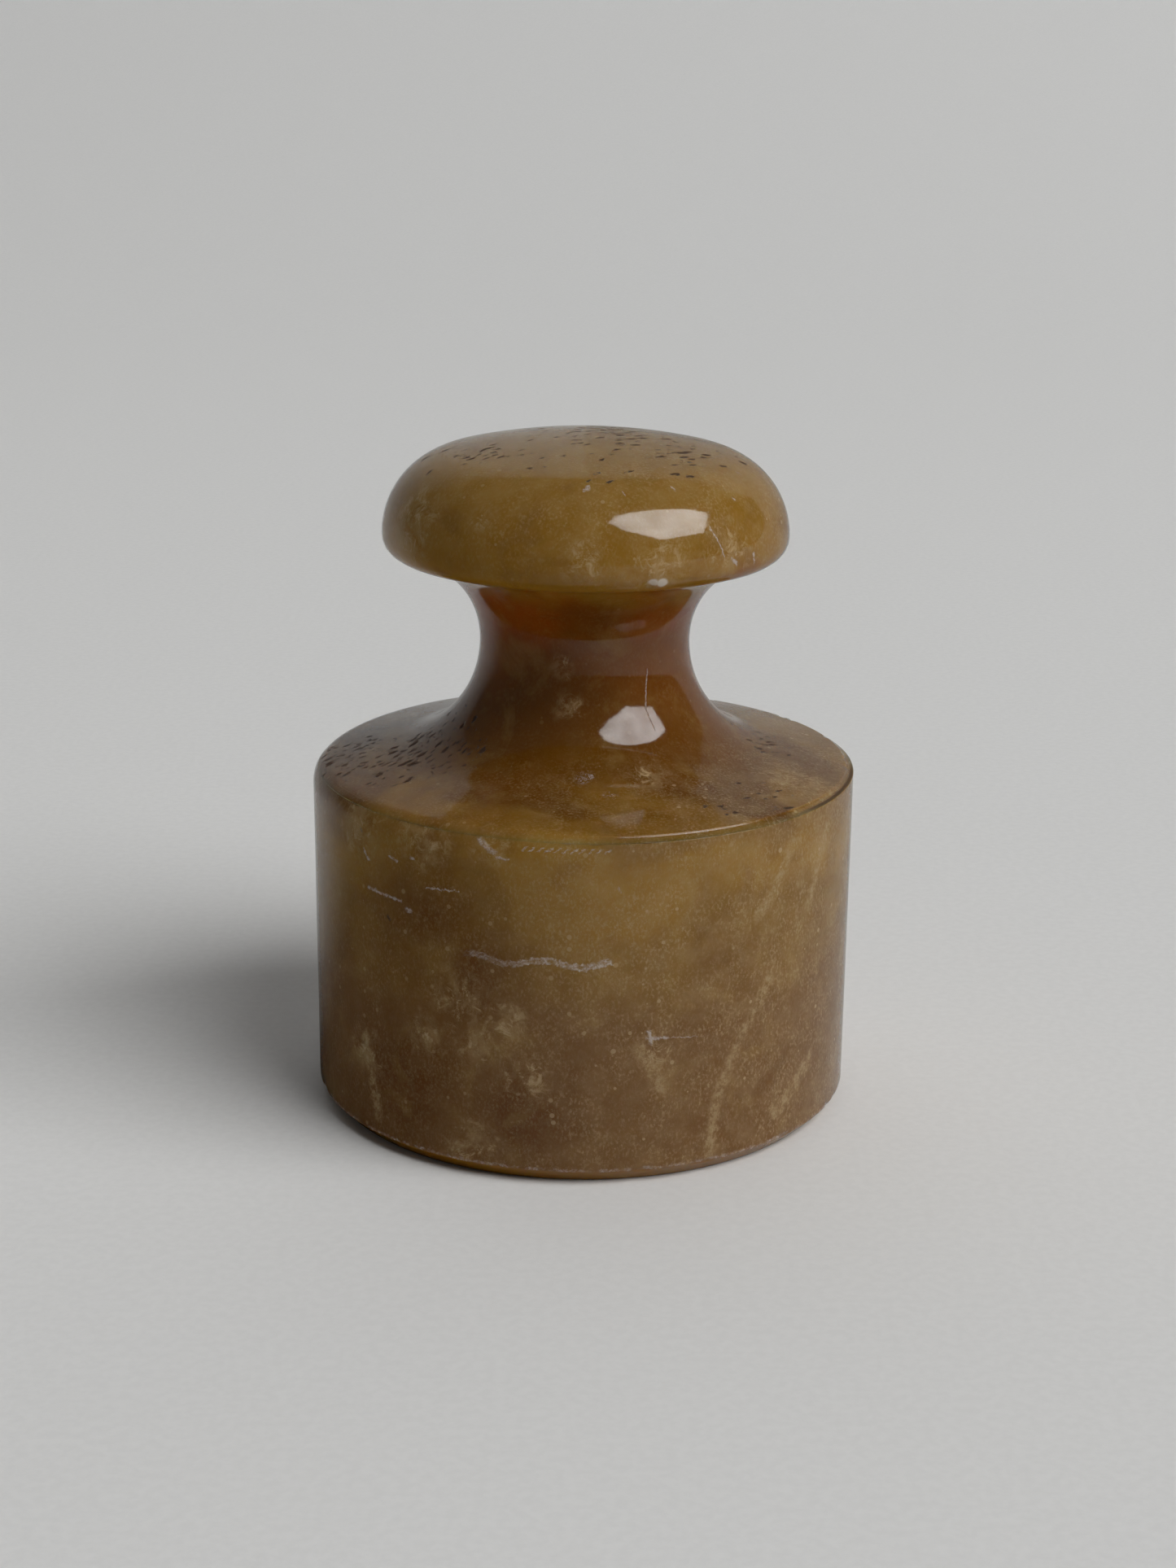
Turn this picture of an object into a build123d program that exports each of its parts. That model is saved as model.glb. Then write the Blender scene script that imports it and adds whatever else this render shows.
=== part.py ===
from build123d import *
import math
import os

# A turned stone mortar whose pestle also closes it. The mortar is a cylindrical cup with a round-bottomed bowl. The
# pestle is a knob, a waisted neck and a shoulder that rests on the cup's rim. Under the shoulder, a short register
# centres it in the mouth, and a stem carries the grinding head down into the bowl. Sizes are in millimetres, the
# foot stands on Z = 0, and Z is the axis of both stones.

# Outside of the mortar
BODY_RADIUS = 40.0  # at the rim
FOOT_RADIUS = 39.9  # just above the foot chamfer, so the side narrows very slightly downwards
FOOT_CHAMFER = 2.2
RIM_Z = 50.3  # top of the mortar, where the pestle's shoulder rests

# Shoulder of the pestle
BEVEL_WIDTH = 1.1
BEVEL_HEIGHT = 0.8
SHOULDER_SLOPE = 12.0  # degrees below the horizontal

# Neck of the pestle
NECK_RADIUS = 15.35  # at the waist
NECK_LOWER_ROUND = 16.2
NECK_UPPER_ROUND = 12.5

# Knob of the pestle
TOTAL_HEIGHT = 99.3
KNOB_RADIUS = 29.5
CROWN_RADIUS = 86.0  # of the sphere that the crown is part of
CROWN_EDGE_ROUND = 12.4
UNDERSIDE_Z = 82.2  # where the underside would meet the knob's full radius
UNDERSIDE_SLOPE = 7.6  # degrees, falling towards the neck
UNDERSIDE_EDGE_ROUND = 3.0

# Bowl in the mortar
MOUTH_RADIUS = 31.0
FLOOR_THICKNESS = 14.5
FLOOR_RADIUS = 60.0  # of the sphere that the bowl's floor is part of
BOWL_CORNER_ROUND = 18.0
LIP_CHAMFER = 0.5

# Register, stem and grinding head of the pestle
REGISTER_CLEARANCE = 0.3  # on the radius
REGISTER_DEPTH = 4.0
REGISTER_CHAMFER = 0.6
STEM_RADIUS = 14.0
STEM_ROUND = 9.0
HEAD_RADIUS = 21.0
HEAD_TOP_Z = 30.0  # where the head's back would meet its full radius
HEAD_BACK_Z = 36.0  # where the head's back would meet the stem
HEAD_BACK_ROUND = 5.0
HEAD_CLEARANCE = 1.0  # above the bowl's floor
HEAD_FACE_RADIUS = 58.0  # of the sphere that the grinding face is part of
HEAD_EDGE_ROUND = 11.0


def sagitta(sphere_radius, radius):
    """Height between a sphere's pole and its circle of the given radius."""
    return sphere_radius - math.sqrt(sphere_radius**2 - radius**2)


def drop(slope, run):
    """Height lost along a horizontal run at a slope in degrees."""
    return run * math.tan(math.radians(slope))


def round_corner(section, corner, radius):
    """Rounds the corner of the section nearest to a (radius, height) point."""
    fillet(section.vertices().sort_by_distance(corner)[0], radius)


def chamfer_corner(section, corner, size):
    """Chamfers the corner of the section nearest to a (radius, height) point."""
    chamfer(section.vertices().sort_by_distance(corner)[0], size)


def make_mortar():
    """The cup: a side that narrows very slightly to the foot, and a straight-walled bowl with a dished floor."""
    floor_centre = (0, FLOOR_THICKNESS)
    floor_edge = (MOUTH_RADIUS, FLOOR_THICKNESS + sagitta(FLOOR_RADIUS, MOUTH_RADIUS))
    lip = (MOUTH_RADIUS, RIM_Z)
    foot_edge = (FOOT_RADIUS, 0)
    with BuildPart() as cup:
        with BuildSketch(Plane.XZ) as section:
            with BuildLine():
                Polyline(floor_centre, (0, 0), foot_edge, (BODY_RADIUS, RIM_Z), lip, floor_edge)
                RadiusArc(floor_edge, floor_centre, FLOOR_RADIUS)
            make_face()
            round_corner(section, floor_edge, BOWL_CORNER_ROUND)
            chamfer_corner(section, lip, LIP_CHAMFER)
            chamfer_corner(section, foot_edge, FOOT_CHAMFER)
        revolve(axis=Axis.Z)
    return cup.part


def make_pestle():
    """Knob, neck and shoulder above the rim. Register, stem and grinding head below it."""
    crown_edge = (KNOB_RADIUS, TOTAL_HEIGHT - sagitta(CROWN_RADIUS, KNOB_RADIUS))
    underside_edge = (KNOB_RADIUS, UNDERSIDE_Z)
    neck_top = (NECK_RADIUS, UNDERSIDE_Z - drop(UNDERSIDE_SLOPE, KNOB_RADIUS - NECK_RADIUS))
    bevel_top = (BODY_RADIUS - BEVEL_WIDTH, RIM_Z + BEVEL_HEIGHT)
    neck_foot = (NECK_RADIUS, bevel_top[1] + drop(SHOULDER_SLOPE, bevel_top[0] - NECK_RADIUS))
    register_radius = MOUTH_RADIUS - REGISTER_CLEARANCE
    register_edge = (register_radius, RIM_Z - REGISTER_DEPTH)
    stem_top = (STEM_RADIUS, RIM_Z - REGISTER_DEPTH)
    stem_foot = (STEM_RADIUS, HEAD_BACK_Z)
    head_back = (HEAD_RADIUS, HEAD_TOP_Z)
    face_pole = (0, FLOOR_THICKNESS + HEAD_CLEARANCE)
    face_edge = (HEAD_RADIUS, face_pole[1] + sagitta(HEAD_FACE_RADIUS, HEAD_RADIUS))
    with BuildPart() as turned:
        with BuildSketch(Plane.XZ) as section:
            with BuildLine():
                RadiusArc((0, TOTAL_HEIGHT), crown_edge, CROWN_RADIUS)
                Polyline(
                    crown_edge,
                    underside_edge,
                    neck_top,
                    neck_foot,
                    bevel_top,
                    (BODY_RADIUS, RIM_Z),
                    (register_radius, RIM_Z),
                    register_edge,
                    stem_top,
                    stem_foot,
                    head_back,
                    face_edge,
                )
                RadiusArc(face_edge, face_pole, HEAD_FACE_RADIUS)
                Line(face_pole, (0, TOTAL_HEIGHT))
            make_face()
            round_corner(section, crown_edge, CROWN_EDGE_ROUND)
            round_corner(section, underside_edge, UNDERSIDE_EDGE_ROUND)
            round_corner(section, neck_top, NECK_UPPER_ROUND)
            round_corner(section, neck_foot, NECK_LOWER_ROUND)
            round_corner(section, stem_foot, STEM_ROUND)
            round_corner(section, head_back, HEAD_BACK_ROUND)
            round_corner(section, face_edge, HEAD_EDGE_ROUND)
            chamfer_corner(section, register_edge, REGISTER_CHAMFER)
        revolve(axis=Axis.Z)
    return turned.part


os.makedirs("parts", exist_ok=True)
pieces = {"mortar": make_mortar(), "pestle": make_pestle()}
for name, piece in pieces.items():
    export_step(piece, f"parts/{name}.step")
    size = piece.bounding_box().size
    print(f"{name}: {size.X:.2f} x {size.Y:.2f} x {size.Z:.2f} mm, {piece.volume / 1000:.1f} cm3")
print(f"gap between the stones: {pieces['mortar'].distance_to(pieces['pestle']):.3f} mm")
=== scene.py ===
# %% [markdown]
# # A turned stone mortar and pestle
#
# The object is two pieces of honey-coloured banded calcite, the stone that is sold as onyx. The mortar is a thick
# cup. The pestle is a knob, a waisted neck and a wide shoulder that closes the cup, with a grinding head hidden in
# the bowl. Both were turned on a lathe and polished, so nearly everything you see is one curve swept round an axis,
# plus the wear that years of use leave on it.
#
# The CAD model already fixes every size and place. This script loads it as a frame, turns a finer surface over each
# CAD stone, wears the edges, and then spends most of its length on the stone itself: clouds, veins, flecks, pits and
# scratches, all made from shader nodes.

# %% Load the frame
from math import atan, cos, pi, radians, sin, sqrt, tan

import bpy
import numpy as np
from mathutils import Matrix, Vector


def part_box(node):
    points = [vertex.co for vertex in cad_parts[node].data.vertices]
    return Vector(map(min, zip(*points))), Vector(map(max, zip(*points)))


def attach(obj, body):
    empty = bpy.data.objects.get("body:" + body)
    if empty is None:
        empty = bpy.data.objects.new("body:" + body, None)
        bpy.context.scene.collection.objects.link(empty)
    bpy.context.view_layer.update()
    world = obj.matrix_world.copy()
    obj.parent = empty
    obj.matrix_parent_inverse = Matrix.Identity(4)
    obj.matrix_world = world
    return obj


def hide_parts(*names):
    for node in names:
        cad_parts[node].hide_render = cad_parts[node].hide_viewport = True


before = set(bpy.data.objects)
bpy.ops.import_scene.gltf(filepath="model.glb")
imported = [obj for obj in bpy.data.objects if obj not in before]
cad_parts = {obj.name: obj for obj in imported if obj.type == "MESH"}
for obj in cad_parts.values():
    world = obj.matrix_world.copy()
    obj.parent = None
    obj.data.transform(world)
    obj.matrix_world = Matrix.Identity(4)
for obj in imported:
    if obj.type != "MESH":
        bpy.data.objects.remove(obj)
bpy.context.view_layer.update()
MM = 0.001

# %% [markdown]
# ## Read the outline of a turned stone
#
# A lathe template is a line on a half plane: how far from the axis, and how high. We could type that line in again,
# but the CAD stone already holds it. Every vertex of a turned solid lies on a horizontal circle, so folding the
# vertices onto the half plane leaves a few hundred points, and the mesh edges say which points are neighbours.
# Walking from neighbour to neighbour gives the outline in order, with no sizes copied by hand.


# %% Fold a CAD stone onto the half plane
def folded_outline(node, snap=0.000002):
    """The half section of a turned CAD node as rows of (radius, height), from its upper pole to its lower one.

    Formula: a vertex (x, y, z) folds to (square root of x squared plus y squared, z). Vertices that fold within snap
    of each other are one ring. The walk starts at the ring on the axis and always steps to the nearest ring that
    shares a mesh edge and was not visited yet.
    """
    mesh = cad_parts[node].data
    points = np.zeros(len(mesh.vertices) * 3)
    mesh.vertices.foreach_get("co", points)
    points = points.reshape(-1, 3)
    folded = np.stack([np.hypot(points[:, 0], points[:, 1]), points[:, 2]], axis=-1)
    snapped = np.round(folded / snap).astype(int)
    _, first, ring_of = np.unique(snapped, axis=0, return_index=True, return_inverse=True)
    rings = folded[first]
    edges = np.zeros(len(mesh.edges) * 2, int)
    mesh.edges.foreach_get("vertices", edges)
    pairs = ring_of.reshape(-1)[edges.reshape(-1, 2)]
    neighbours = {ring: set() for ring in range(len(rings))}
    for a, b in pairs[pairs[:, 0] != pairs[:, 1]]:
        neighbours[int(a)].add(int(b))
        neighbours[int(b)].add(int(a))
    on_axis = [ring for ring in neighbours if rings[ring, 0] < snap]
    here = max(on_axis, key=lambda ring: rings[ring, 1])
    walk = []
    while here is not None:
        walk.append(here)
        ahead = [ring for ring in neighbours[here] if ring not in walk]
        here = min(ahead, key=lambda ring: np.hypot(*(rings[ring] - rings[here]))) if ahead else None
    outline = rings[walk]
    if outline[-1, 0] > snap:
        outline = np.vstack([outline, [0.0, outline[-1, 1]]])
    return outline


outlines = {node: folded_outline(node) for node in ("mortar", "pestle")}
for node, outline in outlines.items():
    print(node, "outline has", len(outline), "points, widest", round(outline[:, 0].max() / MM, 2), "mm")

# %% [markdown]
# ## Make the outline smooth
#
# The CAD mesh is accurate but coarse, and a polished surface shows every flat as a kink in its reflections. So we
# split the outline at its true corners, and draw each stretch between two corners as a Hermite curve through the
# CAD points. A long run beside short ones is a straight side of the stone, so its own direction is kept as the
# tangent there, or the curve would bulge.
#
# Real corners are never sharp. Each one becomes a small round, and the size of the round is an argument, because a
# worn side of the stone has larger rounds than a fresh one.

# %% Split at corners and draw each stretch as a smooth curve
CORNER_TURN = radians(12)
STRAIGHT_RATIO = 2.5
ROUND_STEPS = 6


def unit(vectors):
    """Rows scaled to length one."""
    return vectors / np.maximum(np.linalg.norm(vectors, axis=-1, keepdims=True), 1e-12)


def corners_of(outline):
    """Indices of the outline's ends and of each point where it turns by more than CORNER_TURN."""
    runs = unit(np.diff(outline, axis=0))
    turns = np.arccos(np.clip(np.sum(runs[:-1] * runs[1:], axis=1), -1, 1))
    return [0, *(np.nonzero(turns > CORNER_TURN)[0] + 1).tolist(), len(outline) - 1]


def stretch_tangents(points, level_start, level_end):
    """A tangent at each point: the directions on both sides, each weighed by the other side's length.

    A run much longer than its neighbour is straight and wins outright. At an axis pole the tangent is level.
    """
    steps = np.diff(points, axis=0)
    lengths = np.linalg.norm(steps, axis=1)
    runs = unit(steps)
    tangents = np.empty_like(points)
    before, after = lengths[:-1, None], lengths[1:, None]
    inner = unit(runs[:-1] * after + runs[1:] * before)
    inner = np.where(before > after * STRAIGHT_RATIO, runs[:-1], inner)
    inner = np.where(after > before * STRAIGHT_RATIO, runs[1:], inner)
    tangents[1:-1] = inner
    tangents[0] = [1.0, 0.0] if level_start else (2 * runs[0] - tangents[1] if len(points) > 2 else runs[0])
    tangents[-1] = [-1.0, 0.0] if level_end else (2 * runs[-1] - tangents[-2] if len(points) > 2 else runs[-1])
    return unit(tangents)


def hermite(points, tangents, count):
    """count points on the cubic Hermite curve through points, evenly spaced along it.

    Formula: between two points the place is (2t^3-3t^2+1)P0 + (t^3-2t^2+t)LT0 + (3t^2-2t^3)P1 + (t^3-t^2)LT1,
    where L is the distance between them and t runs from 0 to 1.
    """
    lengths = np.linalg.norm(np.diff(points, axis=0), axis=1)
    marks = np.concatenate([[0.0], np.cumsum(lengths)])
    along = np.linspace(0.0, marks[-1], count)
    part = np.clip(np.searchsorted(marks, along, side="right") - 1, 0, len(lengths) - 1)
    t = ((along - marks[part]) / lengths[part])[:, None]
    length = lengths[part][:, None]
    return (
        (2 * t**3 - 3 * t**2 + 1) * points[part]
        + (t**3 - 2 * t**2 + t) * length * tangents[part]
        + (3 * t**2 - 2 * t**3) * points[part + 1]
        + (t**3 - t**2) * length * tangents[part + 1]
    )


def cut_ends(curve, start, end):
    """The part of a dense curve that is left when start and end metres are cut off its ends."""
    marks = np.concatenate([[0.0], np.cumsum(np.linalg.norm(np.diff(curve, axis=0), axis=1))])
    # The samples crowd towards both ends, so that a large face keeps its own shading right up to a small round
    share = 0.5 - 0.5 * np.cos(np.linspace(0.0, pi, len(curve)))
    even = np.linspace(0.0, 1.0, len(curve))
    share = 0.7 * even + 0.3 * share
    along = start + share * (marks[-1] - start - end)
    return np.stack([np.interp(along, marks, curve[:, 0]), np.interp(along, marks, curve[:, 1])], axis=-1)


def turned_outline(outline, rounding, spacing=0.0008):
    """The outline with every stretch smooth and every corner rounded.

    rounding gives the distance from a corner at which its round begins, as a function of the corner's
    (radius, height). Each round is a quadratic curve: (1-t)^2 A + 2t(1-t) C + t^2 B, where C is the corner.
    Two calls with different rounding return the same number of points, so that they can be blended.
    """
    corners = corners_of(outline)
    pieces = []
    for first, last in zip(corners[:-1], corners[1:]):
        points = outline[first : last + 1]
        tangents = stretch_tangents(points, first == 0, last == len(outline) - 1)
        length = np.linalg.norm(np.diff(points, axis=0), axis=1).sum()
        dense = hermite(points, tangents, max(8, int(length / spacing)))
        start = 0.0 if first == 0 else min(rounding(points[0]), 0.4 * length)
        end = 0.0 if last == len(outline) - 1 else min(rounding(points[-1]), 0.4 * length)
        pieces.append(cut_ends(dense, start, end))
    t = np.linspace(0.0, 1.0, ROUND_STEPS + 1)[1:-1, None]
    joined = [pieces[0]]
    for before, after, corner in zip(pieces[:-1], pieces[1:], corners[1:-1]):
        bend = outline[corner]
        joined.append((1 - t) ** 2 * before[-1] + 2 * t * (1 - t) * bend + t**2 * after[0])
        joined.append(after)
    return np.vstack(joined)


for node, outline in outlines.items():
    print(node, "has corners at", [tuple((outline[c] / MM).round(1)) for c in corners_of(outline)[1:-1]])

# %% [markdown]
# ## Turn the stones
#
# A surface of revolution needs only two numbers per point: how far along the outline, and how far round. With both
# as grids, one numpy expression gives every vertex. The grid lets us do what a lathe can't: blend a crisp outline
# into a worn one as we go round, dent the surface where a chip is missing, and add the faint unevenness of a hand
# polish. All of this only takes stone away, so the result stays inside the CAD size.

# %% A repeatable smooth noise for wear
def ring_noise(angles, waves, seed):
    """A smooth random curve round the axis, between about -1 and 1: a sum of whole-number waves with random phases."""
    phases = np.random.default_rng(seed).uniform(0, 2 * pi, len(waves))
    return sum(np.sin(wave * angles + phase) for wave, phase in zip(waves, phases)) / sqrt(len(waves))


def ease(share):
    """A smooth step: 0 below 0, 1 above 1, and 3x^2 - 2x^3 between."""
    share = np.clip(share, 0, 1)
    return share * share * (3 - 2 * share)


def bump_at(distance, size):
    """A smooth bump: 1 at distance 0, falling to 0 at distance size."""
    return np.clip(1 - (distance / size) ** 2, 0, 1) ** 2


# %% Turn an outline into a mesh
def new_object(name, data):
    """An object for some data, at the origin, in the scene."""
    made = bpy.data.objects.new(name, data)
    bpy.context.scene.collection.objects.link(made)
    return made


COLUMNS = 360
FRONT = -pi / 2  # the side that faces the camera, measured from +X towards +Y


def turned_mesh(name, crisp, worn, wear, dents):
    """A closed surface of revolution with a worn outline.

    Formula: at angle a the outline is crisp + wear(a) (worn - crisp), and the vertex is
    (r cos a, r sin a, h). dents(points, angles) then gives how far each vertex moves against its normal.
    """
    angles = FRONT + np.arange(COLUMNS) * 2 * pi / COLUMNS
    share = wear(angles)[None, :]
    radius = crisp[:, 0, None] + share * (worn[:, 0] - crisp[:, 0])[:, None]
    height = crisp[:, 1, None] + share * (worn[:, 1] - crisp[:, 1])[:, None]
    along = unit(np.gradient(crisp, axis=0))
    out_r, out_h = -along[:, 1, None], along[:, 0, None]
    depth = dents(radius, height, angles[None, :] + 0 * radius)
    depth[0], depth[-1] = 0.0, 0.0
    radius = radius - depth * out_r
    height = height - depth * out_h
    grid = np.stack([radius * np.cos(angles), radius * np.sin(angles), height], axis=-1)
    inner = grid[1:-1].reshape(-1, 3)
    rows = len(grid) - 2
    points = np.vstack([inner, [[0, 0, crisp[0, 1]]], [[0, 0, crisp[-1, 1]]]])
    row, column = np.meshgrid(np.arange(rows - 1), np.arange(COLUMNS), indexing="ij")
    following = (column + 1) % COLUMNS
    quads = np.stack(
        [
            row * COLUMNS + column,
            (row + 1) * COLUMNS + column,
            (row + 1) * COLUMNS + following,
            row * COLUMNS + following,
        ],
        axis=-1,
    ).reshape(-1, 4)
    ring = np.arange(COLUMNS)
    first_pole, last_pole = len(inner), len(inner) + 1
    top = np.stack([np.full(COLUMNS, first_pole), ring, (ring + 1) % COLUMNS], axis=-1)
    base = (rows - 1) * COLUMNS
    bottom = np.stack([np.full(COLUMNS, last_pole), base + (ring + 1) % COLUMNS, base + ring], axis=-1)
    mesh = bpy.data.meshes.new(name)
    mesh.from_pydata(points.tolist(), [], [*top.tolist(), *quads.tolist(), *bottom.tolist()])
    mesh.shade_smooth()
    mesh.update()
    return new_object(name, mesh)


# %% [markdown]
# ## Wear on the mortar and the pestle
#
# The shoulder's edge is crisp at the right and worn round at the left. Small chips are missing along that edge and
# along the foot, where a stone gets knocked. One larger chip is missing from the lower lip of the knob.

# %% Where the stones are worn
RIM_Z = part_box("mortar")[1].z
TOP_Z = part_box("pestle")[1].z
BODY_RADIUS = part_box("mortar")[1].x
pestle_outline = outlines["pestle"]
knob_rows = pestle_outline[pestle_outline[:, 1] > 0.5 * (RIM_Z + TOP_Z)]
KNOB_RADIUS = knob_rows[:, 0].max()
print("rim at", round(RIM_Z / MM, 2), "knob radius", round(KNOB_RADIUS / MM, 2))


def left_wear(angles):
    """0 where the shoulder's edge is crisp, 1 where hands have worn it round: the whole left, and a little behind."""
    from_front = np.degrees(np.angle(np.exp(1j * (angles - FRONT))))
    left = ease((7 - from_front) / 22) * ease((from_front + 175) / 60)
    return np.clip(left + 0.10 * ring_noise(angles, (5, 9, 14), 3) * (left > 0), 0, 1)


BEVEL_WIDTH, BEVEL_HEIGHT = 0.0011, 0.0008
STEP_OUT, STEP_DOWN = 0.00012, 0.00028  # a fine tool step where the shoulder meets its bevel, which catches the light
bevel_corner = (BODY_RADIUS - BEVEL_WIDTH, RIM_Z + BEVEL_HEIGHT)
edge_row = int(np.argmin(np.hypot(*(pestle_outline - bevel_corner).T)))
step_point = pestle_outline[edge_row] + (STEP_OUT, -STEP_DOWN)
outlines["pestle"] = np.insert(pestle_outline, edge_row + 1, step_point, axis=0)
print("step below the shoulder at", (step_point / MM).round(2))
WORN_RADIUS = 0.0036
SHOULDER_FALL = tan(radians(12))  # the shoulder falls outwards by 12 degrees
bevel_top = pestle_outline[edge_row]
worn_centre_r = BODY_RADIUS - WORN_RADIUS
worn_centre_h = bevel_top[1] + (bevel_top[0] - worn_centre_r) * SHOULDER_FALL
worn_centre_h -= WORN_RADIUS / cos(atan(SHOULDER_FALL))


def worn_edge(outline):
    """The outline with the shoulder's edge worn to an arc.

    Formula: between the arc's centre and its top, the radius is no more than
    centre_r + square root of (worn radius squared minus (height - centre_h) squared).
    """
    rise = np.clip(outline[:, 1] - worn_centre_h, 0, WORN_RADIUS)
    limit = worn_centre_r + np.sqrt(WORN_RADIUS**2 - rise**2)
    in_reach = (outline[:, 1] > worn_centre_h) & (outline[:, 1] < bevel_top[1] + 0.0006)
    worn = outline.copy()
    worn[:, 0] = np.where(in_reach, np.minimum(outline[:, 0], limit), outline[:, 0])
    return worn


def fresh_round(corner):
    """How large a corner's round is. The two faces of the joint meet closely, so their corners are tighter."""
    return 0.00012 if corner[0] > 0.9 * BODY_RADIUS and abs(corner[1] - RIM_Z) < 0.0001 else 0.00024


FOOT_RADIUS, FOOT_CHAMFER = 0.0399, 0.0022
LIP_CHIP_PLACE, LIP_CHIP_HEIGHT = FRONT + radians(17.5), 0.0829
LIP_CHIP_SIZE, LIP_CHIP_DEPTH = 0.0011, 0.0006


def chips_along(radius, height, angles, edge, count, size, depth, seed):
    """Dents of random size at random places along one edge ring, given as (radius, height)."""
    edge_radius, edge_height = edge
    chance = np.random.default_rng(seed)
    dents = np.zeros_like(radius)
    from_edge = np.hypot(radius - edge_radius, height - edge_height)
    near = from_edge < 2 * size
    for place, scale in zip(chance.uniform(-pi, pi, count), chance.uniform(0.35, 1.0, count) ** 2):
        around = np.angle(np.exp(1j * (angles - place))) * edge_radius
        reach = np.hypot(around / 1.6, from_edge)
        dents = np.maximum(dents, np.where(near, depth * scale * bump_at(reach, size * max(scale, 0.4)), 0.0))
    return dents


def polish_unevenness(radius, height, angles):
    """A hand polish is never perfectly true: a few hundredths of a millimetre, in slow waves."""
    waves = np.sin(3 * angles + 140 * height + 0.6) * np.sin(2 * angles - 95 * height)
    waves = waves + 0.6 * np.sin(7 * angles + 60 * height + 1.9) * np.sin(210 * height + 2 * angles)
    return 0.000012 * (1.6 + waves) * np.clip(radius / 0.01, 0, 1)


def mortar_dents(radius, height, angles):
    """Chips along the foot chamfer's upper edge and the rim, and the unevenness of the polish."""
    foot = chips_along(radius, height, angles, (FOOT_RADIUS, FOOT_CHAMFER), 46, 0.0011, 0.00035, 5)
    rim = chips_along(radius, height, angles, (BODY_RADIUS, RIM_Z), 30, 0.0008, 0.00022, 8)
    return foot + rim + polish_unevenness(radius, height, angles)


def pestle_dents(radius, height, angles):
    """Chips along the shoulder's bevel, one chip in the knob's lower lip, and the unevenness of the polish."""
    edge = chips_along(radius, height, angles, bevel_corner, 26, 0.0008, 0.00022, 11)
    around = np.angle(np.exp(1j * (angles - LIP_CHIP_PLACE))) * KNOB_RADIUS
    lip = bump_at(np.hypot(around / 1.5, height - LIP_CHIP_HEIGHT), LIP_CHIP_SIZE)
    lip = LIP_CHIP_DEPTH * lip * (radius > 0.9 * KNOB_RADIUS)
    return edge + lip + polish_unevenness(radius, height, angles)


# %% Turn both stones
stones = {}
for node, dents in (("mortar", mortar_dents), ("pestle", pestle_dents)):
    crisp = turned_outline(outlines[node], fresh_round)
    stone = turned_mesh(node + "_stone", crisp, worn_edge(crisp), left_wear, dents)
    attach(stone, node)
    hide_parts(node)
    stones[node] = stone
    print(stone.name, "has", len(stone.data.polygons), "faces from", len(crisp), "rows")

# %% [markdown]
# ## Tools for building the stone out of nodes
#
# Everything from here to the floor is the stone's own look. Banded calcite isn't one colour: light goes in, scatters
# between crystals, and comes out again, so it has clear honey pockets, milky clouds, pale veins and flecks. On top of
# that sit the marks of use. Each of these effects is a node group with named inputs and outputs, built once and used
# by both stones, so that the pattern runs on across the joint between them.

# %% Short helpers for adding nodes
def add(tree, kind, settings=None, sockets=None):
    """Adds a node. settings are its properties. sockets maps input names or numbers to values or to other outputs."""
    made = tree.nodes.new("ShaderNode" + kind)
    for key, value in (settings or {}).items():
        setattr(made, key, value)
    for key, value in (sockets or {}).items():
        if isinstance(value, bpy.types.NodeSocket):
            tree.links.new(value, made.inputs[key])
        elif value is not None:
            made.inputs[key].default_value = value
    return made


def maths(tree, operation, a, b=None, c=None):
    """The output of a Math node."""
    return add(tree, "Math", {"operation": operation}, {0: a, 1: b, 2: c}).outputs[0]


def vectors(tree, operation, a, b=None, scale=None):
    """The output of a Vector Math node: a vector, or a number for a length, distance or dot product."""
    made = add(tree, "VectorMath", {"operation": operation}, {0: a, 1: b, "Scale": scale})
    return made.outputs["Value" if operation in {"LENGTH", "DISTANCE", "DOT_PRODUCT"} else "Vector"]


def soft_step(tree, value, low, high, floor=0.0, top=1.0):
    """Eases from floor to top while value goes from low to high. low may be the larger of the two."""
    settings = {"interpolation_type": "SMOOTHSTEP", "clamp": True}
    sockets = {"Value": value, "From Min": low, "From Max": high, "To Min": floor, "To Max": top}
    if isinstance(low, (int, float)) and isinstance(high, (int, float)) and low > high:
        sockets.update({"From Min": high, "From Max": low, "To Min": top, "To Max": floor})
    return add(tree, "MapRange", settings, sockets).outputs["Result"]


def noise(tree, place, scale, detail=2.0, roughness=0.5, distortion=0.0, output="Fac"):
    """Fractal noise. With place in millimetres, scale is the number of waves per millimetre."""
    sockets = {"Vector": place, "Scale": scale, "Detail": detail, "Roughness": roughness, "Distortion": distortion}
    made = add(tree, "TexNoise", None, sockets)
    return made.outputs["Color" if output == "Color" else 0]


def blend_colour(tree, factor, a, b):
    """Goes from colour a to colour b as factor goes from 0 to 1."""
    settings = {"data_type": "RGBA", "clamp_factor": True}
    return add(tree, "Mix", settings, {0: factor, 6: a, 7: b}).outputs[2]


def brightest(tree, masks):
    """The largest of several masks at each point."""
    result = masks[0]
    for mask in masks[1:]:
        result = maths(tree, "MAXIMUM", result, mask)
    return result


def product(tree, *factors):
    """The product of several values."""
    result = factors[0]
    for factor in factors[1:]:
        result = maths(tree, "MULTIPLY", result, factor)
    return result


def layered(tree, base, layers):
    """Lays colours over a base one after another. Each layer is (mask, colour)."""
    for mask, colour in layers:
        base = blend_colour(tree, mask, base, colour)
    return base


def weighed_sum(tree, base, terms):
    """base plus each value times its weight. Each term is (value, weight)."""
    for value, weight in terms:
        base = maths(tree, "MULTIPLY_ADD", value, weight, base)
    return base


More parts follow.
